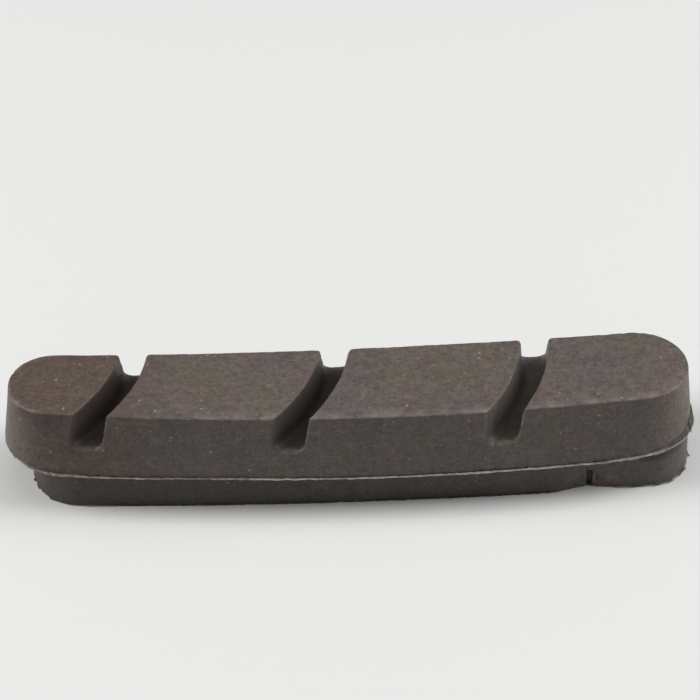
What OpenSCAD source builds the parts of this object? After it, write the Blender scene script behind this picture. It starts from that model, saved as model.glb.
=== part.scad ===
// Rim brake pad insert: a long curved block of friction compound with grooves across its face,
// moulded in one piece with the rail that slides into a holder.
// Millimetres. +X points to the wide end, -Y to the convex side, +Z out of the friction face.
// The origin is the middle of the underside.

/* [Body] */
// Length over the parting line
body_l = 55.2; // [52:0.2:58]
// Height of the whole pad
total_h = 9.4; // [8.8:0.1:10.4]
// Parting line to the convex side, half way along
base_front = 6.36; // [5.9:0.02:7]
// Parting line to the concave side, half way along
base_back = 5.8; // [5.2:0.02:6.4]
// Bow of the parting line on the convex side
base_front_bow = 1.82; // [1.2:0.02:2.4]
// Extra width of the parting line at the wide end, convex side
base_front_flare = 0.53; // [0:0.01:1]
// Extra width of the parting line at the wide end, concave side
base_back_flare = 1.5; // [0.5:0.02:1.8]
// Length of the rounding at the narrow end of the parting line
base_nose_l = 5.4; // [4.5:0.1:6.5]
// Length of the rounding at the wide end of the parting line
base_nose_r = 6.8; // [5.5:0.1:8]

/* [Friction face] */
// Draft of each end, parting line to friction face
end_draft = 0.67; // [0.4:0.01:1.2]
// Friction face to the convex side, half way along
face_front = 5.16; // [4.7:0.02:5.6]
// Friction face to the concave side, half way along
face_back = 3.09; // [2.6:0.02:3.6]
// Bow of the convex edge of the face
face_front_bow = 1.97; // [1.2:0.01:2.4]
// Bow of the concave edge of the face
face_back_bow = 0.91; // [0.3:0.01:1.4]
// Extra width of the face at the wide end, convex side
face_front_flare = 0.76; // [0:0.02:1]
// Extra width of the face at the wide end, concave side
face_back_flare = 0.34; // [0:0.02:0.8]
// Length of the rounding at the narrow end of the face
face_nose_l = 3.5; // [2.8:0.1:4.4]
// Length of the rounding at the wide end of the face
face_nose_r = 4.1; // [3.2:0.1:5]
// Edge break round the face
face_edge = 0.15; // [0.08:0.01:0.18]

/* [Grooves] */
// Number of grooves
groove_n = 3; // [1:1:3]
// Distance between grooves
groove_pitch = 15.84; // [14.5:0.02:16.5]
// Width of a groove at the face
groove_w = 2.25; // [2.15:0.05:2.8]
// Width of a groove at its floor
groove_floor_w = 2; // [1.6:0.05:2.1]
// Depth of a groove
groove_depth = 3; // [2.2:0.1:3.6]
// Rounding between the floor of a groove and its walls
groove_corner_r = 0.5; // [0.2:0.05:0.65]
// Edge break along the mouth of a groove
groove_edge = 0.2; // [0.2:0.01:0.3]
// Radius of the arc that a groove follows
groove_arc_r = 16.9; // [15:0.1:20]
// Position along the pad of the middle groove's arc centre
groove_cx = -17.58; // [-19:0.02:-16]
// Position across the pad of the middle groove's arc centre
groove_cy = 5.9; // [5:0.05:7]
// Shift of each next arc centre toward the convex side
groove_drift = 1.19; // [0:0.01:1.5]

/* [Rail] */
// Height of the rail below the body
rail_h = 4; // [3.6:0.1:4.6]
// Setback of the rail at the narrow end
rail_setback_l = 2.05; // [1.4:0.05:2.6]
// Setback of the rail at the wide end
rail_setback_r = 0.25; // [0.2:0.05:1]
// Rail to the convex side, half way along
rail_front = 4.72; // [4.3:0.02:5.1]
// Rail to the concave side, half way along
rail_back = 3.03; // [2.6:0.02:3.6]
// Bow of both sides of the rail
rail_bow = 0.87; // [0.4:0.01:1.3]
// Extra width of the rail at the wide end, convex side
rail_flare = 0.31; // [0:0.01:0.6]
// Length of the rounding at the narrow end of the rail
rail_nose_l = 3.75; // [3:0.05:4.5]
// Length of the rounding at the wide end of the rail
rail_nose_r = 3.3; // [2.5:0.05:4]

/* [Retaining recess] */
// Position along the rail of the foot of the recess
recess_x = 18.9; // [17:0.1:20]
// Length of the ramp that leads into the recess
recess_l = 2.9; // [2:0.1:4]
// Depth of the recess at the foot of the ramp
recess_d = 0.72; // [0.4:0.02:0.9]
// Width of the slot at the foot of the ramp
slot_w = 0.45; // [0.35:0.05:0.8]
// Depth of the slot
slot_d = 1.2; // [1:0.05:1.6]
// Depth at which the wall beyond the slot starts
recess_step = 0.25; // [0.1:0.01:0.35]
// Length over which that wall comes back out
recess_exit = 1; // [0.6:0.1:1.5]

/* [Parting line] */
// Thickness of the thin lip round the parting line
lip_t = 0.15; // [0.1:0.01:0.25]
// Width of the lip
lip_w = 0.16; // [0.1:0.01:0.3]

/* [Hidden] */
compound = [0.36, 0.33, 0.31];
edge_steps = 36;
nose_steps = 10;
cut = 1;
$fn = 96;
// how far each rounded end is to the side of the middle line, narrow end then wide end
base_tips = [0.36, -0.62];
face_tips = [0.17, -0.15];
rail_tips = [0.2, 0.08];
// the arc that a groove sweeps, measured at its centre
groove_from = -60;
groove_sweep = 78;
// an outline: ends, sides as [half width, flare, bow], roundings, tips
base = [[-body_l / 2, body_l / 2],
        [base_front, base_front_flare, -base_front_bow], [base_back, base_back_flare, 0],
        [base_nose_l, base_nose_r], base_tips];
face = [[-body_l / 2 + end_draft, body_l / 2 - end_draft],
        [face_front, face_front_flare, -face_front_bow], [face_back, face_back_flare, face_back_bow],
        [face_nose_l, face_nose_r], face_tips];
rail = [[-body_l / 2 + rail_setback_l, body_l / 2 - rail_setback_r],
        [rail_front, rail_flare, -rail_bow], [rail_back, 0, rail_bow],
        [rail_nose_l, rail_nose_r], rail_tips];

// distance of a side from the middle line at x
function side(s, x) = s[0] + s[1] * x / body_l + s[2] * pow(2 * x / body_l, 2);

// quarter ellipse from the end of a side (t = 0) to the tip of a nose (t = 90)
function nose(x0, x1, y0, y1, t) = [x0 + (x1 - x0) * sin(t), y1 + (y0 - y1) * cos(t)];

// closed outline, anticlockwise from the front left
function outline(o) =
    let (xl = o[0][0], xr = o[0][1], sl = xl + o[3][0], sr = xr - o[3][1],
         fl = -side(o[1], sl), fr = -side(o[1], sr), bl = side(o[2], sl), br = side(o[2], sr),
         turn = 90 / nose_steps, step = (sr - sl) / edge_steps)
    concat(
        [for (i = [0:edge_steps]) let (x = sl + i * step) [x, -side(o[1], x)]],
        [for (i = [1:nose_steps]) nose(sr, xr, fr, o[4][1], i * turn)],
        [for (i = [1:nose_steps - 1]) nose(sr, xr, br, o[4][1], 90 - i * turn)],
        [for (i = [0:edge_steps]) let (x = sr - i * step) [x, side(o[2], x)]],
        [for (i = [1:nose_steps]) nose(sl, xl, bl, o[4][0], i * turn)],
        [for (i = [1:nose_steps - 1]) nose(sl, xl, fl, o[4][0], 90 - i * turn)]);

// the same outline moved inward by d
function inset(p, d) =
    [for (i = [0:len(p) - 1])
        let (a = p[(i + len(p) - 1) % len(p)], b = p[(i + 1) % len(p)], t = (b - a) / norm(b - a))
        p[i] + d * [-t[1], t[0]]];

// solid skin through outlines of equal length at the given heights
module loft(outlines, heights) {
    n = len(outlines[0]);
    top = len(outlines) - 1;
    polyhedron(
        points = [for (k = [0:top]) for (p = outlines[k]) [p[0], p[1], heights[k]]],
        faces = concat(
            [[for (i = [0:n - 1]) i]],
            [[for (i = [n - 1:-1:0]) top * n + i]],
            [for (k = [0:top - 1]) for (i = [0:n - 1])
                [k * n + i, (k + 1) * n + i, (k + 1) * n + (i + 1) % n, k * n + (i + 1) % n]]));
}

// drafted block above the parting line, its top cut flat as the friction face
module body() {
    root = inset(outline(base), lip_w);
    crown = outline(face);
    difference() {
        loft([root, crown, inset(crown, 2 * face_edge)],
             [rail_h + lip_t / 2, total_h - face_edge, total_h + face_edge]);
        translate([-body_l, -body_l, total_h]) cube([2 * body_l, 2 * body_l, cut]);
    }
    translate([0, 0, rail_h]) linear_extrude(lip_t) polygon(outline(base));
}

// ramped recess and slot in the convex side of the rail
module recess() {
    slope = atan((side(rail[1], recess_x) - side(rail[1], recess_x + recess_exit)) / recess_exit);
    translate([recess_x, -side(rail[1], recess_x), -cut]) rotate(slope)
        linear_extrude(rail_h + cut)
            polygon([[-recess_l, -cut], [-recess_l, 0], [0, recess_d], [0, slot_d],
                     [slot_w, slot_d], [slot_w, recess_step], [recess_exit, 0], [recess_exit, -cut]]);
}

module rail() {
    difference() {
        linear_extrude(rail_h + lip_t / 2) polygon(outline(rail));
        recess();
    }
}

// cross-section of a groove, its floor at y = -groove_depth
module groove_section() {
    w = groove_w / 2;
    f = groove_floor_w / 2;
    knee = groove_corner_r - groove_depth;
    polygon([[-f, knee], [-w, -groove_edge], [-w - groove_edge - cut, cut],
             [w + groove_edge + cut, cut], [w, -groove_edge], [f, knee]]);
    translate([-f + groove_corner_r, -groove_depth])
        square([2 * (f - groove_corner_r), groove_corner_r + groove_edge]);
    for (s = [-1, 1]) translate([s * (f - groove_corner_r), knee]) circle(groove_corner_r);
}

// one curved groove, swept about its arc centre
module groove() {
    rotate(groove_from) rotate_extrude(angle = groove_sweep)
        translate([groove_arc_r, total_h]) groove_section();
}

module brake_pad() {
    color(compound) difference() {
        union() {
            body();
            rail();
        }
        for (i = [0:groove_n - 1]) {
            k = i - (groove_n - 1) / 2;
            translate([groove_cx + k * groove_pitch, groove_cy - k * groove_drift, 0]) groove();
        }
    }
}

brake_pad();
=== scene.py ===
"""Rim brake pad insert in worn, speckled friction compound, built over the CAD solid."""

import math
from collections import namedtuple

import bpy
import numpy as np
from mathutils import Matrix, Vector


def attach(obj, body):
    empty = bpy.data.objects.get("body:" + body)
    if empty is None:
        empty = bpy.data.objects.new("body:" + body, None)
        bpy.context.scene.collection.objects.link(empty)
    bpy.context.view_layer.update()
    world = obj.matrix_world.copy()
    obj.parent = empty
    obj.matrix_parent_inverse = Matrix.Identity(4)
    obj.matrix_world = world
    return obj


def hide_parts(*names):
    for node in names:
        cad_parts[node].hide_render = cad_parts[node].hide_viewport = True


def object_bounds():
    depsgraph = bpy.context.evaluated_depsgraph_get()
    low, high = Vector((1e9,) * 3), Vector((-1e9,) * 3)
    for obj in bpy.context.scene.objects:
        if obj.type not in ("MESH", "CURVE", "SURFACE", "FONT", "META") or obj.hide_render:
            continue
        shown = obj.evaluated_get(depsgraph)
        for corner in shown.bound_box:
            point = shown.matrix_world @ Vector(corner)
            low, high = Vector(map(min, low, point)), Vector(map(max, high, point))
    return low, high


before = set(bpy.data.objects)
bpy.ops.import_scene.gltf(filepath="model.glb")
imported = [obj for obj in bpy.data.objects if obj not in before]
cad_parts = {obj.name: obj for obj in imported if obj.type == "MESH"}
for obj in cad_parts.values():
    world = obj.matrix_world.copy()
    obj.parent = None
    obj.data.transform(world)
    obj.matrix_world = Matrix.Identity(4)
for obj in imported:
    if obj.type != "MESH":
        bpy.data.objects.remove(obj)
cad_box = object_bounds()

MM = 0.001

# Sizes in millimetres that the CAD source has too
BODY_L = (cad_box[1][0] - cad_box[0][0]) / MM
TOTAL_H = cad_box[1][2] / MM
RAIL_H = 4.0
LIP_W = 0.16
END_DRAFT = 0.67
RAIL_SETBACK = (2.05, 0.25)
GROOVE_W = 2.25
GROOVE_FLOOR_W = 2.0
GROOVE_DEPTH = 3.0
GROOVE_ARC_R = 16.9
GROOVE_CENTRE = (-17.58, 5.9)
GROOVE_PITCH = 15.84
GROOVE_DRIFT = 1.19
RECESS_X = 18.9
SLOT_W = 0.45

# Sizes in millimetres fitted more closely here than in the CAD source
FACE_END_OUT = 0.08
RAIL_END_IN = 0.09
GROOVE_CORNER_R = 0.7
RECESS_L = 2.6
RECESS_D = 0.52
RECESS_STEP = 0.42
RECESS_EXIT = 3.2
SLOT_D = 0.9
SLOT_HEIGHTS = (0.12, 1.7)
NICK_ALONG = (0.68, 0.84)
NICK_HEIGHTS = (0.7, 1.3)
NICK_D = 0.5

# The grooves from left to right: each is the part of a ring that lies this far right of the ring's
# centre, and it narrows by its pinch toward the back, from a y over a length
GROOVES = (-1, 0, 1)
GROOVE_START = 1.0
PINCH = (0.22, 0.1, 0.1)
PINCH_Y = (0.5, 3.0)

# The recess's ramp leans toward the slot with height, and the true distance to it is this share of
# the distance straight in
RAMP_LEAN = 0.55
RAMP_SHARE = 0.9

# How far the rail reaches up into the block, and the flash into both
RAIL_SUNK = 0.4
FLASH_ROOT = 0.3

# Heights and slopes that follow from them
HALF_L = BODY_L / 2
BLOCK_H = TOTAL_H - RAIL_H
GROOVE_FLOOR = TOTAL_H - GROOVE_DEPTH
GROOVE_DRAFT = (GROOVE_W - GROOVE_FLOOR_W) / 2 / GROOVE_DEPTH

# An outline seen from above: each side is (distance from the middle line, flare, bow)
Outline = namedtuple("Outline", "left right front back noses tips")
BASE = Outline(-HALF_L, HALF_L,
               (6.36, 0.53, -1.82), (5.80, 1.50, 0.0), (5.4, 6.8), (0.36, -0.62))
FACE = Outline(-HALF_L + END_DRAFT, HALF_L - END_DRAFT + FACE_END_OUT,
               (5.16, 0.76, -1.97), (3.09, 0.34, 0.91), (3.5, 4.1), (0.17, -0.15))
RAIL = Outline(-HALF_L + RAIL_SETBACK[0] + RAIL_END_IN, HALF_L - RAIL_SETBACK[1],
               (4.72, 0.31, -0.87), (3.03, 0.0, 0.87), (3.75, 3.3), (0.2, 0.08))

# At the narrow end the wall's foot comes out by this share of the lip, from an x over a length
NARROW_FOOT = 0.8
NARROW_FOOT_X = (-24.0, 2.5)

# Edge radii in millimetres, and where two of them grow: from a place, over a length
FACE_EDGE_R = 0.08
GROOVE_EDGE_R = 0.12
NOTCH_EDGE_R = 0.2
NOTCH_Y = (1.6, 1.2)
SILL_EDGE_R = 0.3
SILL_Z = (GROOVE_FLOOR + 0.55, 0.5)
RAIL_EDGE_R = 0.05
RECESS_EDGE_R = 0.06
EDGE_R_CHANGE = 0.04

# Relief: (height, size, seed) of each wave of noise, and (radius, depth, how many) of the pits
BLOCK_WAVES = ((0.012, 4.0, 1), (0.009, 1.1, 2), (0.009, 0.4, 3))
RAIL_WAVES = ((0.02, 4.0, 1), (0.008, 0.9, 2), (0.005, 0.4, 3))
CHIP_WAVES = ((1.0, 0.42, 4), (0.5, 1.5, 5))
CHIP_DEPTH = 0.11
CHIP_FROM = 0.15
RAIL_CHIPS = 0.5
PITS = ((0.16, 0.05, 170), (0.24, 0.06, 45))
PIT_SEED = 7

# How dark the surface is, from 0 on the friction face to 1: the sides, the rail and the grooves are moulded
# skin with painted shade on it, and the crease, the narrow rim and the slot are painted shade
SIDE_SKIN_AND_SHADE = 0.44
END_SKIN = 0.08
RAIL_SKIN_AND_SHADE = 0.63
GROOVE_SKIN_AND_SHADE = 0.73
CREASE_SHADE = 0.4
NARROW_RIM_SHADE = 0.24
SLOT_SHADE = 0.4

# The painted shadow under the lip of the wide end: its lower edge along the pad, and how dark it is
SHADE_X = (22.5, 25.0, 26.0, 26.8)
SHADE_Z = (2.6, 3.1, 3.15, 2.8)
SHADE_SKIN = 0.9

# How pale the dashes on the rim, the sills of the grooves and the rubbed band inside the rim are; the dashes
# and the sills are partly worn edges and partly painted highlight
DASH_PALE = 0.40
SILL_PALE = 0.25
BAND_PALE = 0.14

# Small burrs on the rail's bottom edge, seen from above
BURRS = ((-25.4, -0.85), (27.25, -0.8), (26.9, -2.3))
BURR_W = 0.13
BURR_L = 0.22

# Mesh steps in millimetres
STEP_FINE = 0.125
STEP_WIDE = 0.2
STEP_ACROSS = 0.14
STEP_FLASH = 0.07

# Ends of the stretches of the mesh along the pad, fine and wide in turn, and its reach across
BLOCK_STRETCHES = (-27.9, -24.5, -22.6, -15.4, -7.2, 0.4, 9.4, 16.6, 24.5, 27.9)
RAIL_STRETCHES = (-25.9, -22.0, 15.6, 20.2, 23.5, 27.9)
BLOCK_REACH = 6.7
RAIL_REACH = 5.3

# The same upward: finer at the foot, the parting line, the groove floors and the friction face
BLOCK_LEVELS = (3.8, 4.2, 6.2, 7.0, 8.8, 9.7)
RAIL_LEVELS = (-0.2, 0.3, 3.9, 4.6)
STEP_FOOT = 0.07
STEP_PARTING = 0.1
STEP_FLOOR = 0.1
STEP_FACE = 0.08
STEP_SUNK = 0.2

# A step that brings points to the surface: at most MAX_MOVE, on a slope of at least MIN_SLOPE
MAX_MOVE = 0.08
MIN_SLOPE = 0.2

# The bend of the surface: how much of it is smoothed, and where it counts as a sharp edge
SMOOTHING = 0.6
SHARP_BEND = 0.02

# Numbers that scramble a cell's place into noise
PRIMES = (374761393, 668265263, 2147483647, 1274126177)
SCRAMBLE = ((13, 1274126177), (16, 2246822519))
BITS_32 = 0xFFFFFFFF
BITS_24 = 0xFFFFFF


# Ramps, bumps and repeatable noise
def rise(x, start, length):
    """0 up to start, then growing to 1 over the length."""
    return np.clip((x - start) / length, 0, 1)


def fall(x, end, length):
    """1 until the length before end, then dropping to 0 at end."""
    return np.clip((end - x) / length, 0, 1)


def bump_at(x, middle, width):
    """Smooth bump of height 1 round middle."""
    return np.exp(-(((x - middle) / width) ** 2))


def lattice(cell, seed):
    """Random numbers from 0 to 1 for whole-numbered cells in space."""
    i, j, k = cell.T
    h = (i * PRIMES[0] + j * PRIMES[1] + k * PRIMES[2] + seed * PRIMES[3]) & BITS_32
    for shift, factor in SCRAMBLE:
        h = ((h ^ (h >> shift)) * factor) & BITS_32
    return ((h ^ (h >> 15)) & BITS_24) / BITS_24


def noise(p, size, seed):
    """Smooth value noise from -1 to 1 in features of the given size in millimetres."""
    keeps_positive = 1000.0
    q = p / size + keeps_positive
    i = np.floor(q).astype(np.int64)
    f = q - i
    f = f * f * f * (f * (f * 6 - 15) + 10)
    total = np.zeros(len(p))
    for corner in range(8):
        step = np.array([corner & 1, corner >> 1 & 1, corner >> 2 & 1])
        total += np.where(step, f, 1 - f).prod(1) * lattice(i + step, seed)
    return total * 2 - 1


def waves(p, layers):
    """Sum of noises, each given as (height, size, seed)."""
    return sum(height * noise(p, size, seed) for height, size, seed in layers)


# Outlines and the solid as distances
def side(s, x):
    """Distance of a side from the middle line at x."""
    return s[0] + s[1] * x / BODY_L + s[2] * (2 * x / BODY_L) ** 2


def nose(x0, x1, y0, y1, t):
    """Quarter ellipse from the end of a side (t = 0) to the tip (t = 1)."""
    a = t * math.pi / 2
    return np.stack([x0 + (x1 - x0) * np.sin(a), y1 + (y0 - y1) * np.cos(a)], 1)


def outline_points(o, edge_steps=90, nose_steps=32):
    """Closed outline, anticlockwise from the front left."""
    sl, sr = o.left + o.noses[0], o.right - o.noses[1]
    x = np.linspace(sl, sr, edge_steps + 1)
    t = np.linspace(0, 1, nose_steps + 1)
    return np.concatenate([
        np.stack([x, -side(o.front, x)], 1),
        nose(sr, o.right, -side(o.front, sr), o.tips[1], t)[1:],
        nose(sr, o.right, side(o.back, sr), o.tips[1], t[::-1])[1:-1],
        np.stack([x[::-1], side(o.back, x[::-1])], 1),
        nose(sl, o.left, side(o.back, sl), o.tips[0], t)[1:],
        nose(sl, o.left, -side(o.front, sl), o.tips[0], t[::-1])[1:-1],
    ])


def inset(p, d):
    """An outline moved inward by d, which may change along it."""
    along = np.roll(p, -1, axis=0) - np.roll(p, 1, axis=0)
    along /= np.linalg.norm(along, axis=1)[:, None]
    inward = np.stack([-along[:, 1], along[:, 0]], 1)
    return p + inward * np.broadcast_to(d, len(p))[:, None]


def wall_foot():
    """Where the block's wall meets the lip; at the narrow end it stands out almost as far."""
    p = outline_points(BASE)
    return inset(p, LIP_W * (1 - NARROW_FOOT * fall(p[:, 0], *NARROW_FOOT_X)))


def polygon_distance(poly, px, py):
    """Signed distance to a closed polygon, negative inside."""
    best = np.full(px.shape, np.inf)
    inside = np.zeros(px.shape, bool)
    for a, b in zip(poly, np.roll(poly, -1, axis=0)):
        e = b - a
        wx, wy = px - a[0], py - a[1]
        t = np.clip((wx * e[0] + wy * e[1]) / (e @ e), 0, 1)
        best = np.minimum(best, (wx - e[0] * t) ** 2 + (wy - e[1] * t) ** 2)
        if e[1] != 0:
            crosses = (a[1] <= py) != (b[1] <= py)
            inside ^= crosses & (wx < e[0] * wy / e[1])
    return np.where(inside, -1, 1) * np.sqrt(best)


class Plan:
    """Distances to the outlines seen from above, looked up between the points of a fine grid."""

    STEP = 0.08
    MARGIN = 1.0
    HALF_WIDTH = 7.4
    UNEVEN = ((0.7, 1.3, 41), (0.5, 4.5, 42))

    # Lookups stay this many steps short of the far edge
    LAST_CELL = 1.001

    def __init__(self):
        self.x0, self.y0 = -HALF_L - self.MARGIN, -self.HALF_WIDTH
        nx = int((BODY_L + 2 * self.MARGIN) / self.STEP) + 2
        ny = int(2 * self.HALF_WIDTH / self.STEP) + 2
        xs = self.x0 + self.STEP * np.arange(nx)
        ys = self.y0 + self.STEP * np.arange(ny)
        gx, gy = np.meshgrid(xs, ys, indexing="ij")
        flat = np.column_stack([gx.ravel(), gy.ravel(), np.zeros(gx.size)])
        change = waves(flat, self.UNEVEN)
        self.maps = {
            "base": polygon_distance(wall_foot(), gx, gy),
            "face": polygon_distance(outline_points(FACE), gx, gy),
            "rail": polygon_distance(outline_points(RAIL), gx, gy),
            "wear": EDGE_R_CHANGE * (1 + change).reshape(gx.shape),
        }
        self.shape = (nx, ny)

    def at(self, x, y):
        """Distance to each outline at the points, and how much the wear rounds an edge there."""
        u = np.clip((x - self.x0) / self.STEP, 0, self.shape[0] - self.LAST_CELL)
        v = np.clip((y - self.y0) / self.STEP, 0, self.shape[1] - self.LAST_CELL)
        i, j = u.astype(int), v.astype(int)
        u, v = u - i, v - j
        out = {}
        for key, m in self.maps.items():
            near = m[i, j] * (1 - u) + m[i + 1, j] * u
            far = m[i, j + 1] * (1 - u) + m[i + 1, j + 1] * u
            out[key] = near * (1 - v) + far * v
        return out


def round_and(a, b, r):
    """Intersection of two solids with a rounded edge."""
    return np.minimum(np.maximum(a, b), -r) + np.hypot(np.maximum(a + r, 0), np.maximum(b + r, 0))


def groove_field(x, y, z):
    """Signed distance to the three curved grooves together, negative inside a groove."""
    best = np.full(np.shape(x), np.inf)
    for k, pinch in zip(GROOVES, PINCH):
        cx = GROOVE_CENTRE[0] + k * GROOVE_PITCH
        cy = GROOVE_CENTRE[1] - k * GROOVE_DRIFT
        outward = np.hypot(x - cx, y - cy) - GROOVE_ARC_R
        off_middle = np.maximum(-outward, outward + pinch * rise(y, *PINCH_Y))
        wall = off_middle - (GROOVE_FLOOR_W / 2 + GROOVE_DRAFT * (z - GROOVE_FLOOR))
        groove = round_and(wall, GROOVE_FLOOR - z, GROOVE_CORNER_R)
        best = np.minimum(best, np.maximum(groove, cx + GROOVE_START - x))
    return best


def recess_place(x, y):
    """Lengths along and into the rail's convex side, from the foot of the recess."""
    y0 = -side(RAIL.front, RECESS_X)
    turn = math.atan(-side(RAIL.front, RECESS_X + 1) - y0)
    c, s = math.cos(turn), math.sin(turn)
    return c * (x - RECESS_X) + s * (y - y0), c * (y - y0) - s * (x - RECESS_X)


def recess_depth(along, z):
    """Depth of the ramp, which leans toward the slot with height, and of the web over the slot."""
    ramp = RECESS_D * np.maximum(1 + along / (RECESS_L - RAMP_LEAN * z), 0)
    web = np.interp(along, [0, SLOT_W, RECESS_EXIT], [RECESS_D, RECESS_STEP, 0])
    return np.where(along < 0, ramp, web)


def cut_between(along, into, z, ends, depth, heights):
    """Signed distance to a square cut into the side, negative inside."""
    sides = np.abs(along - (ends[0] + ends[1]) / 2) - (ends[1] - ends[0]) / 2
    levels = np.abs(z - (heights[0] + heights[1]) / 2) - (heights[1] - heights[0]) / 2
    return np.maximum(np.maximum(sides, levels), into - depth)


def recess_field(x, y, z):
    """Signed distance to the retaining recess, negative inside."""
    along, into = recess_place(x, y)
    ramp = RAMP_SHARE * (into - recess_depth(along, np.clip(z, 0, RAIL_H)))
    slot = cut_between(along, into, z, (0, SLOT_W), SLOT_D, SLOT_HEIGHTS)
    nick = cut_between(along, into, z, NICK_ALONG, NICK_D, NICK_HEIGHTS)
    return np.minimum(ramp, np.minimum(slot, nick))


def block_field(plan, x, y, z):
    """Signed distance to the grooved block above the parting line."""
    m = plan.at(x, y)
    lean = m["face"] - m["base"]
    wall = (m["base"] + lean * ((z - RAIL_H) / BLOCK_H)) / np.sqrt(1 + (lean / BLOCK_H) ** 2)
    block = round_and(wall, z - TOTAL_H, FACE_EDGE_R + m["wear"])
    block = np.maximum(block, RAIL_H - z)
    mouth_r = GROOVE_EDGE_R + NOTCH_EDGE_R * rise(y, *NOTCH_Y) + m["wear"]
    mouth_r = mouth_r + SILL_EDGE_R * fall(z, *SILL_Z) * (y < 0)
    return round_and(block, -groove_field(x, y, z), mouth_r)


def rail_field(plan, x, y, z):
    """Signed distance to the rail below the parting line, sunk a little into the block."""
    m = plan.at(x, y)
    rail = round_and(m["rail"], -recess_field(x, y, z), RECESS_EDGE_R)
    rail = round_and(rail, -z, RAIL_EDGE_R)
    return np.maximum(rail, z - RAIL_H - RAIL_SUNK)


# Meshing
def axis_levels(ends, steps):
    """Grid coordinates through the ends, each stretch between two of them with its own step."""
    parts = []
    for a, b, step in zip(ends, ends[1:], steps):
        n = max(1, round((b - a) / step))
        parts.append(np.linspace(a, b, n + 1)[:-1])
    return np.concatenate(parts + [[ends[-1]]])


def surface_net(axes, vals):
    """Points and quads on the zero surface of vals over a rectilinear grid."""
    n = tuple(s - 1 for s in vals.shape)
    total = np.zeros(n + (3,))
    count = np.zeros(n)
    crossings = []
    for ax in range(3):
        a = np.moveaxis(vals, ax, 0)[:-1]
        b = np.moveaxis(vals, ax, 0)[1:]
        cut = np.nonzero((a < 0) != (b < 0))
        share = a[cut] / (a[cut] - b[cut])
        others = [s for s in range(3) if s != ax]
        index = np.zeros((len(share), 3), int)
        index[:, ax], index[:, others[0]], index[:, others[1]] = cut
        pos = np.stack([axes[s][index[:, s]] for s in range(3)], 1)
        pos[:, ax] += share * np.diff(axes[ax])[index[:, ax]]
        cells = []
        for da, db in ((1, 1), (0, 1), (0, 0), (1, 0)):
            c = index.copy()
            c[:, others[0]] -= da
            c[:, others[1]] -= db
            np.add.at(total, tuple(c.T), pos)
            np.add.at(count, tuple(c.T), 1)
            cells.append(c)
        crossings.append((cells, (a[cut] < 0) == (ax == 1)))
    ids = np.full(n, -1)
    ids[count > 0] = np.arange((count > 0).sum())
    points = total[count > 0] / count[count > 0][:, None]
    quads = []
    for cells, flip in crossings:
        q = np.stack([ids[tuple(c.T)] for c in cells], 1)
        q[flip] = q[flip][:, ::-1]
        quads.append(q)
    return points, np.concatenate(quads)


def project(field, v, steps=3, e=0.02):
    """Moves points onto the zero surface of a field."""
    for _ in range(steps):
        slope = np.stack([
            (field(*(v + e * axis).T) - field(*(v - e * axis).T)) / (2 * e) for axis in np.eye(3)
        ], 1)
        move = -(field(*v.T) / np.maximum((slope**2).sum(1), MIN_SLOPE))[:, None] * slope
        v = v + np.clip(move, -MAX_MOVE, MAX_MOVE)
    return v


def point_normals(v, quads):
    """Outward normals at the points, the mean of the quads round each."""
    n = np.cross(v[quads[:, 2]] - v[quads[:, 0]], v[quads[:, 3]] - v[quads[:, 1]])
    out = np.stack([sum(np.bincount(quads[:, c], n[:, k], len(v)) for c in range(4)) for k in range(3)], 1)
    return out / np.maximum(np.linalg.norm(out, axis=1), 1e-12)[:, None]


def neighbours(quads):
    """Each edge of the quads once, as two point numbers."""
    e = np.concatenate([quads[:, [c, (c + 1) % 4]] for c in range(4)])
    return np.unique(np.sort(e, axis=1), axis=0)


def neighbour_mean(values, edges):
    """Mean of the values at the points that an edge joins to each point."""
    a, b = edges.T
    n = len(values)
    total = np.bincount(a, values[b], n) + np.bincount(b, values[a], n)
    return total / np.bincount(edges.ravel(), minlength=n)


def outward_bend(v, n, edges):
    """How sharply the surface turns outward (positive) or inward (negative) round each point."""
    mean = np.stack([neighbour_mean(v[:, c], edges) for c in range(3)], 1)
    bend = ((v - mean) * n).sum(1)
    for _ in range(2):
        bend = (1 - SMOOTHING) * bend + SMOOTHING * neighbour_mean(bend, edges)
    return bend


def make_mesh(name, verts_mm, faces, masks):
    """A smooth-shaded object kept inside the CAD box; each mask is a number from 0 to 1 at each point."""
    mesh = bpy.data.meshes.new(name)
    verts = np.clip(verts_mm * MM, cad_box[0], cad_box[1])
    mesh.from_pydata(verts.tolist(), [], faces.tolist())
    for key, values in masks.items():
        mesh.attributes.new(key, "FLOAT", "POINT").data.foreach_set("value", np.asarray(values, np.float32))
    mesh.shade_smooth()
    mesh.validate()
    o = bpy.data.objects.new(name, mesh)
    bpy.context.scene.collection.objects.link(o)
    return o


# Moulded pieces
def coarser():
    """How much wider the mesh steps are than in a render."""
    return 1.0


def rail_darkness(v, n):
    """How dark the rail is: moulded skin with painted shade, lighter toward the right as painted light,
    lighter in the recess as wear and painted light, and darkest in the slot and under the lip as painted
    shade and shadow.
    """
    x, y, z = v.T
    front = y < 0
    along, into = recess_place(x, y)
    # Painted light: the rail is lighter toward the right, where it stands out into more light from above
    painted_light_right = 0.15 * np.clip(x / 18, -1, 1)
    # The recess is lighter: partly worn, partly painted light on its ramp, which faces the left lamp
    recess_light_and_wear = 0.45 * (front * rise(recess_depth(along, z), 0, 0.15))
    # Painted shade inside the slot sets the least darkness there
    near_slot = np.abs(along - SLOT_W / 2) < SLOT_W / 2 + 0.05
    in_slot = near_slot * rise(into, RECESS_D, 0.2)
    # Painted shadow under the lip of the wide end
    lip_shadow = rise(x, 22.5, 2.2) * fall(x, 26.7, 0.4) * front
    above = rise(z + 0.35 * lip_shadow, np.interp(x, SHADE_X, SHADE_Z), 0.1)
    dark = RAIL_SKIN_AND_SHADE * (1 - painted_light_right) * (1 - recess_light_and_wear) + SHADE_SKIN * lip_shadow * above
    return np.clip(dark, SLOT_SHADE * in_slot, 1)


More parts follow.
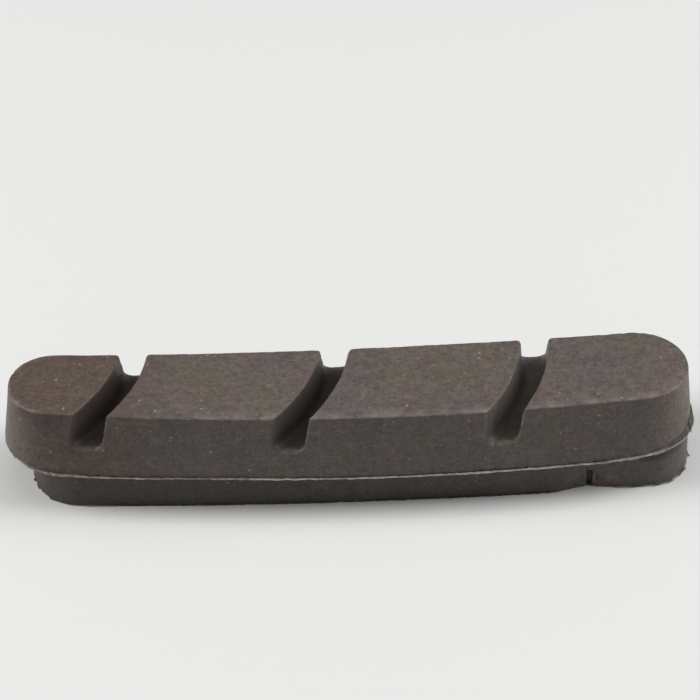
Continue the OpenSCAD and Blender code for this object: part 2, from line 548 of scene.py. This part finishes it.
def groove_darkness(v, n):
    """How dark the grooves are: moulded skin with painted shade that deepens inward, lighter toward the open
    ends where light gets in, and darker on walls that face right, toward the right lamp.
    """
    x, y, z = v.T
    from_front = y + side(BASE.front, x)
    from_back = side(BASE.back, x) - y
    facing_right = np.clip(n[:, 0], 0, 1)
    right = rise(x, 0, 10)
    # Painted light toward the open front, and painted shade on walls that face right toward the right lamp
    open_front = 0.42 * (1 - rise(from_front, 0, 2.6)) * (1 - facing_right) - 0.2 * facing_right
    # Painted light toward the open back end
    open_back = (0.40 + 0.25 * right) * (1 - rise(from_back, 1.2 + right, 1.6 + right))
    # Painted shade that deepens toward the groove floor
    depth = rise(TOTAL_H - z, 0, GROOVE_DEPTH)
    dark = (GROOVE_SKIN_AND_SHADE - 0.34 * np.clip(x / 13, -0.2, 1)) * (0.75 + 0.25 * depth)
    return dark - open_front - open_back


def block_darkness(v, n):
    """How dark the block is: none on the friction face, moulded skin with painted shade on the sides, painted
    shade in the crease and on the narrow rim, and most inside the grooves.
    """
    x, y, z = v.T
    # The upright sides are darker than the ends: partly the moulded skin, partly painted shade on sides that
    # face away from the lamps
    upright = fall(n[:, 2], 0.75, 0.3)
    to_end = rise(np.abs(n[:, 0]), 0.4, 0.4)
    # Painted shade in the crease just above the parting line
    crease_shade = CREASE_SHADE * fall(z, RAIL_H + 0.3, 0.15) * (0.6 + 0.4 * noise(v, 1.1, 43))
    sides = (SIDE_SKIN_AND_SHADE + (END_SKIN - SIDE_SKIN_AND_SHADE) * to_end + crease_shade) * upright
    # Painted shade on the rim of the narrow end, which the left lamp lights
    narrow_rim = rise(z, TOTAL_H - 2.0, 1.4) * fall(x, -21.0, 3)
    sides = sides + NARROW_RIM_SHADE * narrow_rim * upright
    in_groove = (np.abs(groove_field(x, y, z)) < 0.1) * fall(z, TOTAL_H - 0.06, 0.3)
    grooves = np.maximum(sides * 0.8, in_groove * groove_darkness(v, n))
    return np.where(in_groove > 0, grooves, sides)


def block_rubs_and_highlights(plan, v, bend):
    """Pale dashes along the rim of the friction face and pale groove sills, both partly worn and partly
    painted highlight, and a rubbed band inside the rim.
    """
    x, y, z = v.T
    front = y < 0
    outward = np.clip(bend, 0, 1)
    inside_rim = -plan.at(x, y)["face"]
    band = (z > TOTAL_H - 0.1) * np.clip(1.2 - inside_rim / 0.9, 0, 1) * front * rise(x, -17, 2)
    band *= np.clip(0.5 + noise(v, 0.6, 46), 0, 1)
    # Pale dashes on the rim: partly worn edge, partly painted highlight
    rim = outward * (z > TOTAL_H - 0.25) * (groove_field(x, y, z) > 0.25)
    more_at_left = 0.8 * fall(x, -22.5, 1.5)
    dashes = np.clip(2.5 * (noise(v, 1.1, 44) + more_at_left - 0.5), 0, 1)
    # Pale sills: partly worn, partly painted highlight where the lower lip catches light
    sill = outward * (1 - rise(np.abs(z - GROOVE_FLOOR), 0, 0.2)) * front
    sill *= np.clip(noise(v, 0.35, 45) + 0.1, 0, 1)
    return DASH_PALE * rim * dashes + SILL_PALE * sill + BAND_PALE * band


def skin(name, field, axes, relief, darkness, rubs):
    """A dense closed skin on a field, with relief along its normals and masks for the material."""
    grid = np.meshgrid(*axes, indexing="ij")
    vals = field(*(g.ravel() for g in grid)).reshape(grid[0].shape)
    v, quads = surface_net(axes, vals)
    v = project(field, v)
    n = point_normals(v, quads)
    edges = neighbours(quads)
    bend = np.clip(outward_bend(v, n, edges) / SHARP_BEND, -1, 1)
    v = v + n * relief(v, n, bend)[:, None]
    masks = {
        # Concave places get painted shade through the hollow mask; the skin mask carries moulded skin and
        # painted shade; the pale mask carries rubs and painted highlights
        "wear": np.clip(bend, 0, 1),
        "hollow_shade": np.clip(-bend, 0, 1),
        "skin": neighbour_mean(darkness(v, n), edges),
        "pale": rubs(v, bend),
    }
    return make_mesh(name, v, quads, masks)


def chips(v, bend):
    """Depth of small bites out of the outward edges."""
    return CHIP_DEPTH * np.clip(bend, 0, 1) * np.clip(waves(v, CHIP_WAVES) - CHIP_FROM, 0, 1)


def block_relief(v, n, bend):
    """Waves, grain, pits and chipped edges of the block."""
    h = waves(v, BLOCK_WAVES) - chips(v, bend)
    rng = np.random.default_rng(PIT_SEED)
    for radius, depth, how_many in PITS:
        for c in v[rng.integers(0, len(v), how_many)]:
            near = np.abs(v - c).max(1) < 2 * radius
            d = np.linalg.norm(v[near] - c, axis=1) / radius
            h[near] -= depth * np.exp(-(d**2)) * rng.uniform(0.5, 1)
    return h


def rail_relief(v, n, bend):
    """Waves, grain and chipped edges of the rail, with its underside left flat."""
    h = waves(v, RAIL_WAVES) - RAIL_CHIPS * chips(v, bend)
    underside = (n[:, 2] < -0.9) & (v[:, 2] < 0.1)
    return np.where(underside, 0.0, h)


def build_block(plan):
    """The block of friction compound with its three curved grooves."""
    fine, wide, across = (s * coarser() for s in (STEP_FINE, STEP_WIDE, STEP_ACROSS))
    axes = (
        axis_levels(BLOCK_STRETCHES, (fine, wide) * 4 + (fine,)),
        axis_levels((-BLOCK_REACH, BLOCK_REACH), (across,)),
        axis_levels(BLOCK_LEVELS, (STEP_PARTING, wide, STEP_FLOOR, wide * 0.9, STEP_FACE)),
    )
    return skin("friction_block", lambda x, y, z: block_field(plan, x, y, z), axes, block_relief,
                block_darkness, lambda v, bend: block_rubs_and_highlights(plan, v, bend))


def build_rail(plan):
    """The rail that slides into the holder, with its retaining recess."""
    fine, wide, across = (s * coarser() for s in (STEP_FINE, STEP_WIDE, STEP_ACROSS))
    axes = (
        axis_levels(RAIL_STRETCHES, (fine, wide, fine * 0.8, wide, fine)),
        axis_levels((-RAIL_REACH, RAIL_REACH), (across,)),
        axis_levels(RAIL_LEVELS, (STEP_FOOT, wide, STEP_SUNK)),
    )
    return skin("rail", lambda x, y, z: rail_field(plan, x, y, z), axes, rail_relief,
                rail_darkness, lambda v, bend: np.zeros(len(v)))


# Flash
WIDE_END_X = 20


def resample(p, step):
    """Evenly spaced points round a closed outline."""
    q = np.vstack([p, p[:1]])
    s = np.concatenate([[0], np.cumsum(np.linalg.norm(np.diff(q, axis=0), axis=1))])
    t = np.linspace(0, s[-1], round(s[-1] / step), endpoint=False)
    return np.stack([np.interp(t, s, q[:, 0]), np.interp(t, s, q[:, 1])], 1)


def ring_strip(name, rings):
    """Closed tube through rings of (outline, heights, wear, skin, pale)."""
    count = len(rings[0][0])
    columns = [[np.broadcast_to(part, count) for part in ring[1:]] for ring in rings]
    v = np.concatenate([np.column_stack([ring[0], column[0]]) for ring, column in zip(rings, columns)])
    i = np.arange(count)
    faces = []
    for r in range(len(rings)):
        a, b = r * count, (r + 1) % len(rings) * count
        faces.append(np.stack([a + i, b + i, b + (i + 1) % count, a + (i + 1) % count], 1))
    masks = {}
    for k, key in enumerate(("wear", "skin", "pale"), 1):
        masks[key] = np.concatenate([column[k] for column in columns])
    return make_mesh(name, v, np.concatenate(faces), masks)


def flash_line(outline):
    """Close points round an outline, and the same points with a height for the noise."""
    p = resample(outline_points(outline), STEP_FLASH * coarser())
    return p, np.column_stack([p, np.zeros(len(p))])


def lip_paleness(x, q):
    """How pale the lip's torn edge is: uneven all round, duller at the left, bright at the narrow tip."""
    dull = 0.45 * fall(x, -4, 6)
    bright_tip = 0.3 * bump_at(x, -26.5, 1.0)
    pale = 0.70 + waves(q, ((0.35, 0.22, 17), (0.2, 0.8, 18), (0.2, 3.0, 20)))
    return np.clip(pale - dull + bright_tip, 0.15, 1)


def parting_flash():
    """Thin ragged lip round the parting line, thick and sagging at the wide end."""
    p, q = flash_line(BASE)
    x, y = p.T
    wide_end = x > WIDE_END_X
    sag = bump_at(y, -3.7, 1.2) * wide_end
    heavy = bump_at(y, -1.2, 2.4) * wide_end
    dark = rise(y, -4.9, 0.6) * fall(y, 3.5, 2) * wide_end
    front = 1 - rise(y, -2, 2)
    left = fall(x, -20.5, 2) * front
    tip = fall(x, -24.0, 2.5)
    low = front * (1 - bump_at(x, -10.8, 4.8)) * (fall(x, 21.5, 1.5) * rise(x, -24.2, 3.5))
    ragged = waves(q, ((0.5, 0.25, 11), (0.35, 0.9, 12), (0.25, 3.5, 13)))
    share = 0.75 + (0.55 + 0.3 * heavy) * ragged + 0.6 * heavy + 0.3 * left - 0.2 * tip
    out = LIP_W * np.clip(share, 0.1, 1.7)
    thin = 0.075 + waves(q, ((0.03, 1.4, 14), (0.03, 0.25, 15))) + 0.1 * left
    thick = np.maximum(thin, 0.06) + (0.9 + 0.15 * noise(q, 0.5, 19)) * heavy + 0.15 * sag
    z0 = RAIL_H + 0.05 + 0.02 * noise(q, 2.0, 16) - 0.16 * low - 0.15 * sag - 0.1 * heavy
    pale = lip_paleness(x, q)
    lip = inset(p, LIP_W - out)
    shoulder = inset(p, LIP_W - out * (1 - 0.7 * heavy) + 0.03)
    root = inset(p, LIP_W + FLASH_ROOT)
    # From the upper root out round the torn edge and back; the roots are painted dark as shade where the lip
    # meets the wall
    rings = [
        (root, z0 + thick, 0.2, 0.5, 0.0),
        (shoulder, z0 + thick, 0.4 * (1 - dark), 0.7 * dark, 0.5 * pale * (1 - dark)),
        (lip, z0 + thick * (0.7 - 0.25 * heavy), 0.5 * (1 - dark), 0.8 * dark, pale * (1 - dark)),
        (lip, z0 + np.minimum(0.12, 0.5 * thick), 0.5 * (1 - dark), 0.6 * dark, pale * (1 - 0.7 * dark)),
        (lip, z0 + 0.02, 0.5, 0.0, pale),
        (inset(p, LIP_W - out + 0.03), z0, 0.5, 0.3 * dark, 0.5 * pale),
        (root, z0, 0.2, 0.9, 0.0),
    ]
    return ring_strip("parting_flash", rings)


def rail_flash():
    """Thin ragged skin left along the bottom edge of the rail, with a few burrs."""
    p, q = flash_line(RAIL)
    x, y = p.T
    front = y < 0
    skirt = front * rise(x, -23.0, 2) * fall(x, 17.2, 1.5)
    strip = front * rise(x, 20.0, 1.5) * fall(x, 26.2, 0.6)
    ends = bump_at(x, -24.6, 1.3) + bump_at(x, 26.3, 1.4) * (y < 0.5)
    corner = bump_at(x, 26.0, 1.0) * (y < -1)
    ragged = waves(q, ((0.5, 0.2, 21), (0.4, 0.8, 22), (0.5, 3.0, 23)))
    torn_ends = 0.13 * ends * np.clip(noise(q, 0.3, 24) + 0.3, 0, 1)
    out = 0.12 * skirt + 0.10 * strip + 0.05 * ragged + torn_ends + 0.12 * corner
    along, _ = recess_place(x, y)
    out = np.where(front, out - recess_depth(along, 0.0), out)
    out = np.clip(out, -RECESS_D, 0.2)
    for bx, by in BURRS:
        out = out + BURR_L * bump_at(np.hypot(x - bx, y - by), 0, BURR_W)
    high = 0.07 + 0.03 * noise(q, 0.8, 25) + 0.12 * ends * np.clip(noise(q, 0.35, 26), 0, 1)
    pale = front * rise(x, 20.5, 1.5) * np.clip(0.6 + 0.7 * noise(q, 0.5, 27), 0, 1)
    pale += 0.5 * front * bump_at(x, -21.0, 1.6)
    lip = inset(p, -out)
    root = inset(p, np.maximum(FLASH_ROOT, 0.1 - out))
    # From the upper root out round the torn edge and back; the underside by the floor is painted full dark as
    # shade
    rings = [
        (root, high, 0.0, RAIL_SKIN_AND_SHADE, 0.0),
        (inset(p, 0.04 - out), high, 0.3, RAIL_SKIN_AND_SHADE * 0.6, 0.7 * pale),
        (lip, high * 0.6, 0.2, RAIL_SKIN_AND_SHADE * (1 - 0.6 * strip), 0.4 * pale + 0.2 * strip),
        (lip, 0.01, 0.0, 1.0, 0.0),
        (root, 0.0, 0.0, 1.0, 0.0),
    ]
    return ring_strip("rail_flash", rings)


# Materials

# Colours as sRGB from 0 to 255, here and in the tables below
BROWN = (94, 82, 78)
STAINED_BROWN = (84, 68, 60)
RUBBED = (150, 134, 124)
SHEEN = (235, 225, 218)
PAPER = (229, 230, 228)

# What the masks of the mesh lay over the compound: (mask, share, colour); the hollow mask is painted shade,
# the skin mask is moulded skin with painted shade, and the pale mask holds rubs, torn flash and painted
# highlights
MASKS = (
    ("hollow_shade", 0.3, (50, 43, 40)),
    ("skin", 0.9, (24, 20, 20)),
    ("pale", 1.0, (188, 179, 173)),
)

# Clouds of the compound: (shift, size, noise from and to, amount, colour)
CLOUDS = (
    ((0, 0, 0), 3.4, (0.38, 0.62), 1.0, (89, 83, 73)),
    ((31, 7, 3), 4.6, (0.46, 0.68), 0.7, (82, 77, 79)),
    ((5, 41, 9), 2.2, (0.56, 0.70), 0.4, (98, 79, 69)),
)

# The stain grows along the pad toward the narrow end, up to this share
STAIN_X = (-13.5, -18.8)
STAIN = 0.85

# Even grain: (size, detail, roughness, noise from and to, brightness from and to)
GRAIN = (
    (0.85, 2, 0.6, (0.30, 0.70), (0.86, 1.14)),
    (0.33, 2, 0.6, (0.28, 0.72), (0.74, 1.28)),
    (0.14, 1, 0.5, (0.30, 0.70), (0.90, 1.10)),
)

# Streaks along the pad: (stretch, shift, size, detail, roughness, noise from and to, amount, colour)
STREAKS = (
    ((0.3, 1.7, 1.7), (0, 0, 0), 0.42, 2, 0.60, (0.60, 0.74), 0.40, (122, 110, 102)),
    ((0.6, 1, 1), (17, 3, 29), 0.80, 3, 0.65, (0.60, 0.76), 0.40, (126, 114, 106)),
    ((0.35, 1.5, 1.5), (11, 5, 2), 0.40, 2, 0.60, (0.62, 0.74), 0.45, (48, 41, 38)),
)

# Grit: (cell size, share of the cells, radius, colour, amount, shift)
GRIT = (
    (0.27, 0.26, 0.34, (172, 150, 140), 0.50, 6),
    (0.38, 0.30, 0.34, (150, 132, 120), 0.60, 1),
    (0.60, 0.13, 0.26, (184, 170, 156), 0.65, 2),
    (0.55, 0.12, 0.30, (138, 104, 74), 0.55, 3),
    (0.42, 0.26, 0.36, (42, 36, 35), 0.65, 4),
    (0.80, 0.14, 0.26, (30, 27, 27), 0.80, 5),
)
GRIT_SHIFT = (13, 7, 5)


def srgb(r, g, b):
    """Linear colour of an sRGB one given from 0 to 255."""
    lin = [c / 12.92 if c <= 0.04045 else ((c + 0.055) / 1.055) ** 2.4 for c in (r / 255, g / 255, b / 255)]
    return (*lin, 1.0)


class Tree:
    """Short calls for building a material's nodes; lengths are in millimetres."""

    def __init__(self, name):
        self.material = bpy.data.materials.new(name)
        self.material.use_nodes = True
        self.nodes = self.material.node_tree.nodes
        self.links = self.material.node_tree.links
        self.nodes.clear()

    def add(self, kind, inputs, **settings):
        node = self.nodes.new(kind)
        for key, value in settings.items():
            setattr(node, key, value)
        for key, value in inputs.items():
            if isinstance(value, bpy.types.NodeSocket):
                self.links.new(value, node.inputs[key])
            else:
                node.inputs[key].default_value = value
        return node

    def math(self, operation, a, b=0.0, c=0.0):
        return self.add("ShaderNodeMath", {0: a, 1: b, 2: c}, operation=operation).outputs[0]

    def times(self, a, b):
        return self.math("MULTIPLY", a, b)

    def ramp(self, value, low, high, start=0.0, end=1.0):
        """From start to end while the value goes from low to high."""
        ends = {"Value": value, "From Min": low, "From Max": high, "To Min": start, "To Max": end}
        return self.add("ShaderNodeMapRange", ends).outputs[0]

    def mix(self, share, a, b, mode="MIX"):
        """Colour a with the given share of b."""
        return self.add("ShaderNodeMix", {0: share, 6: a, 7: b}, data_type="RGBA", blend_type=mode).outputs[2]

    def attribute(self, name):
        return self.add("ShaderNodeAttribute", {}, attribute_name=name).outputs["Fac"]

    def scaled(self, co, scale, shift):
        """A vector times a scale, plus a shift."""
        inputs = {0: co, 1: scale, 2: shift}
        return self.add("ShaderNodeVectorMath", inputs, operation="MULTIPLY_ADD").outputs[0]

    def place(self, stretch=(1, 1, 1), shift=(0, 0, 0)):
        """Coordinates in millimetres, stretched and shifted."""
        co = self.add("ShaderNodeTexCoord", {}).outputs["Object"]
        return self.scaled(co, tuple(s / MM for s in stretch), shift)

    def noise(self, co, size, detail=2.0, rough=0.5):
        inputs = {"Vector": co, "Scale": 1 / size, "Detail": detail, "Roughness": rough}
        return self.add("ShaderNodeTexNoise", inputs).outputs["Fac"]

    def grains(self, co, size, share, radius):
        """Scattered small grains of uneven outline: share is how many cells have one."""
        wobble = self.add("ShaderNodeTexNoise", {"Vector": co, "Scale": 3 / size, "Detail": 1.0})
        bent = self.scaled(wobble.outputs["Color"], (size * 0.45,) * 3, co)
        cell = self.add("ShaderNodeTexVoronoi", {"Vector": bent, "Scale": 1 / size})
        pick = self.add("ShaderNodeSeparateColor", {0: cell.outputs["Color"]})
        chosen = self.math("LESS_THAN", pick.outputs[0], share)
        r = self.ramp(pick.outputs[1], 0, 1, radius * 0.4, radius)
        dot = self.ramp(self.math("DIVIDE", cell.outputs["Distance"], r), 1.0, 0.5)
        bright = self.ramp(pick.outputs[2], 0, 1, 0.35, 1)
        return self.times(self.times(dot, chosen), bright)

    def grey(self, value):
        return self.add("ShaderNodeCombineColor", {0: value, 1: value, 2: value}).outputs[0]

    def surface(self, inputs, height=None, depth=0.0, strength=1.0):
        """Principled shader wired to the output, with a bump if a height is given."""
        shader = self.add("ShaderNodeBsdfPrincipled", inputs)
        if height is not None:
            bump = {"Strength": strength, "Distance": depth * MM, "Height": height}
            self.links.new(self.add("ShaderNodeBump", bump).outputs[0], shader.inputs["Normal"])
        out = self.nodes.new("ShaderNodeOutputMaterial")
        self.links.new(shader.outputs[0], out.inputs[0])
        return self.material


def cloudy_colour(t):
    """Brown compound in soft olive, blue-grey and rusty clouds, stained at the narrow end."""
    colour = srgb(*BROWN)
    for shift, size, limits, amount, tint in CLOUDS:
        cloud = t.ramp(t.noise(t.place(shift=shift), size, 3, 0.6), *limits)
        colour = t.mix(t.times(cloud, amount), colour, srgb(*tint))
    x = t.add("ShaderNodeSeparateXYZ", {0: t.place()}).outputs[0]
    return t.mix(t.ramp(x, *STAIN_X, 0.0, STAIN), colour, srgb(*STAINED_BROWN))


def grainy_colour(t, colour):
    """Fine uneven grain, short streaks along the pad, and pale, rusty and dark grit."""
    co = t.place()
    for size, detail, rough, limits, brightness in GRAIN:
        level = t.ramp(t.noise(co, size, detail, rough), *limits, *brightness)
        colour = t.mix(1.0, colour, t.grey(level), "MULTIPLY")
    for stretch, shift, size, detail, rough, limits, amount, tint in STREAKS:
        mask = t.ramp(t.noise(t.place(stretch, shift), size, detail, rough), *limits)
        colour = t.mix(t.times(mask, amount), colour, srgb(*tint))
    for size, share, radius, tint, amount, k in GRIT:
        mask = t.grains(t.place(shift=tuple(k * s for s in GRIT_SHIFT)), size, share, radius)
        colour = t.mix(t.times(mask, amount), colour, srgb(*tint))
    return colour


def compound_material():
    """Moulded friction rubber, rubbed pale at its edges, with painted highlights on parts of its rim and
    groove sills, and dark in its grooves and on its rail from moulded skin and painted shade, with painted
    shade in its hollows.
    """
    t = Tree("friction_compound")
    co = t.place()
    colour = grainy_colour(t, cloudy_colour(t))
    patchy = t.ramp(t.noise(co, 1.2, 4, 0.75), 0.42, 0.62)
    rub = t.times(t.ramp(t.attribute("wear"), 0.3, 1.0), t.math("MULTIPLY_ADD", patchy, 0.35, 0.05))
    colour = t.mix(rub, colour, srgb(*RUBBED))
    for mask, share, tint in MASKS:
        colour = t.mix(t.times(t.attribute(mask), share), colour, srgb(*tint))
    rough = t.ramp(t.noise(co, 1.4, 3, 0.6), 0.3, 0.7, 0.46, 0.60)
    height = t.math("MULTIPLY_ADD", t.noise(co, 0.16, 2, 0.6), 0.5, t.noise(co, 0.5, 3, 0.6))
    inputs = {"Base Color": colour, "Roughness": rough, "Specular IOR Level": 0.4,
              "Sheen Weight": 0.12, "Sheen Roughness": 0.5, "Sheen Tint": srgb(*SHEEN)}
    return t.surface(inputs, height, depth=0.06, strength=0.5)


def floor_material():
    """Matt pale paper."""
    t = Tree("pale_paper")
    return t.surface({"Base Color": srgb(*PAPER), "Roughness": 0.9, "Specular IOR Level": 0.1})


# Studio

# The camera looks at its target from a distance, in millimetres, with its angles in degrees
CAMERA_TARGET = (0.584, 13.69, 0.0)
CAMERA_DISTANCE = 290.74
CAMERA_ELEVATION = 41.056
CAMERA_YAW = -1.663
CAMERA_ROLL = -0.9605
CAMERA_LENS = 178.03

# In metres
CAMERA_NEAR = 0.01
FLOOR_SIZE = 3.0

# Lights: place and size in metres, then brightness
SOFTBOXES = {
    "top": ((0.0, -0.02, 0.50), (0.30, 0.30), 1.2),
    "left": ((-0.41, -0.012, 0.285), (0.26, 0.36), 6.0),
    "right": ((0.41, -0.012, 0.285), (0.26, 0.36), 6.0),
}
WORLD_GREY = 0.21


def place_camera():
    """The camera that the sizes were measured with."""
    el, yaw, roll = (math.radians(a) for a in (CAMERA_ELEVATION, CAMERA_YAW, CAMERA_ROLL))
    back = Vector((math.sin(yaw) * math.cos(el), -math.cos(yaw) * math.cos(el), math.sin(el)))
    level = (-back).cross(Vector((0, 0, 1))).normalized()
    steep = level.cross(-back)
    right = math.cos(roll) * level + math.sin(roll) * steep
    up = math.cos(roll) * steep - math.sin(roll) * level
    data = bpy.data.cameras.new("camera")
    data.lens = CAMERA_LENS
    data.clip_start = CAMERA_NEAR
    camera = bpy.data.objects.new("camera", data)
    place = (Vector(CAMERA_TARGET) + back * CAMERA_DISTANCE) * MM
    camera.matrix_world = Matrix.Translation(place) @ Matrix((right, up, back)).transposed().to_4x4()
    bpy.context.scene.collection.objects.link(camera)
    bpy.context.scene.camera = camera


def softbox(name, place, size, brightness):
    """A rectangular light facing the pad; at brightness 1 its face looks pure white."""
    data = bpy.data.lights.new(name, "AREA")
    data.shape = "RECTANGLE"
    data.size, data.size_y = size
    data.energy = brightness * math.pi * size[0] * size[1]
    light = bpy.data.objects.new(name, data)
    light.location = place
    light.rotation_euler = (-Vector(place)).to_track_quat("-Z", "Y").to_euler()
    bpy.context.scene.collection.objects.link(light)


def studio():
    """Pale table under a soft light tent that is open toward the camera."""
    bpy.ops.mesh.primitive_plane_add(size=FLOOR_SIZE)
    floor = bpy.context.object
    floor.name = "floor"
    floor.data.materials.append(floor_material())
    for name, (place, size, brightness) in SOFTBOXES.items():
        softbox(name, place, size, brightness)
    world = bpy.data.worlds.new("world")
    world.use_nodes = True
    world.node_tree.nodes["Background"].inputs["Color"].default_value = (1, 1, 1, 1)
    world.node_tree.nodes["Background"].inputs["Strength"].default_value = WORLD_GREY
    bpy.context.scene.world = world
    bpy.context.scene.view_settings.view_transform = "Standard"


def main():
    """Sets the stage, builds the four pieces on their body, and hides the CAD part."""
    studio()
    place_camera()
    plan = Plan()
    compound = compound_material()
    moulded = [build_block(plan), build_rail(plan)]
    for piece in moulded + [parting_flash(), rail_flash()]:
        piece.data.materials.append(compound)
        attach(piece, "root")
    for piece in moulded:
        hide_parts("brake_pad")


main()
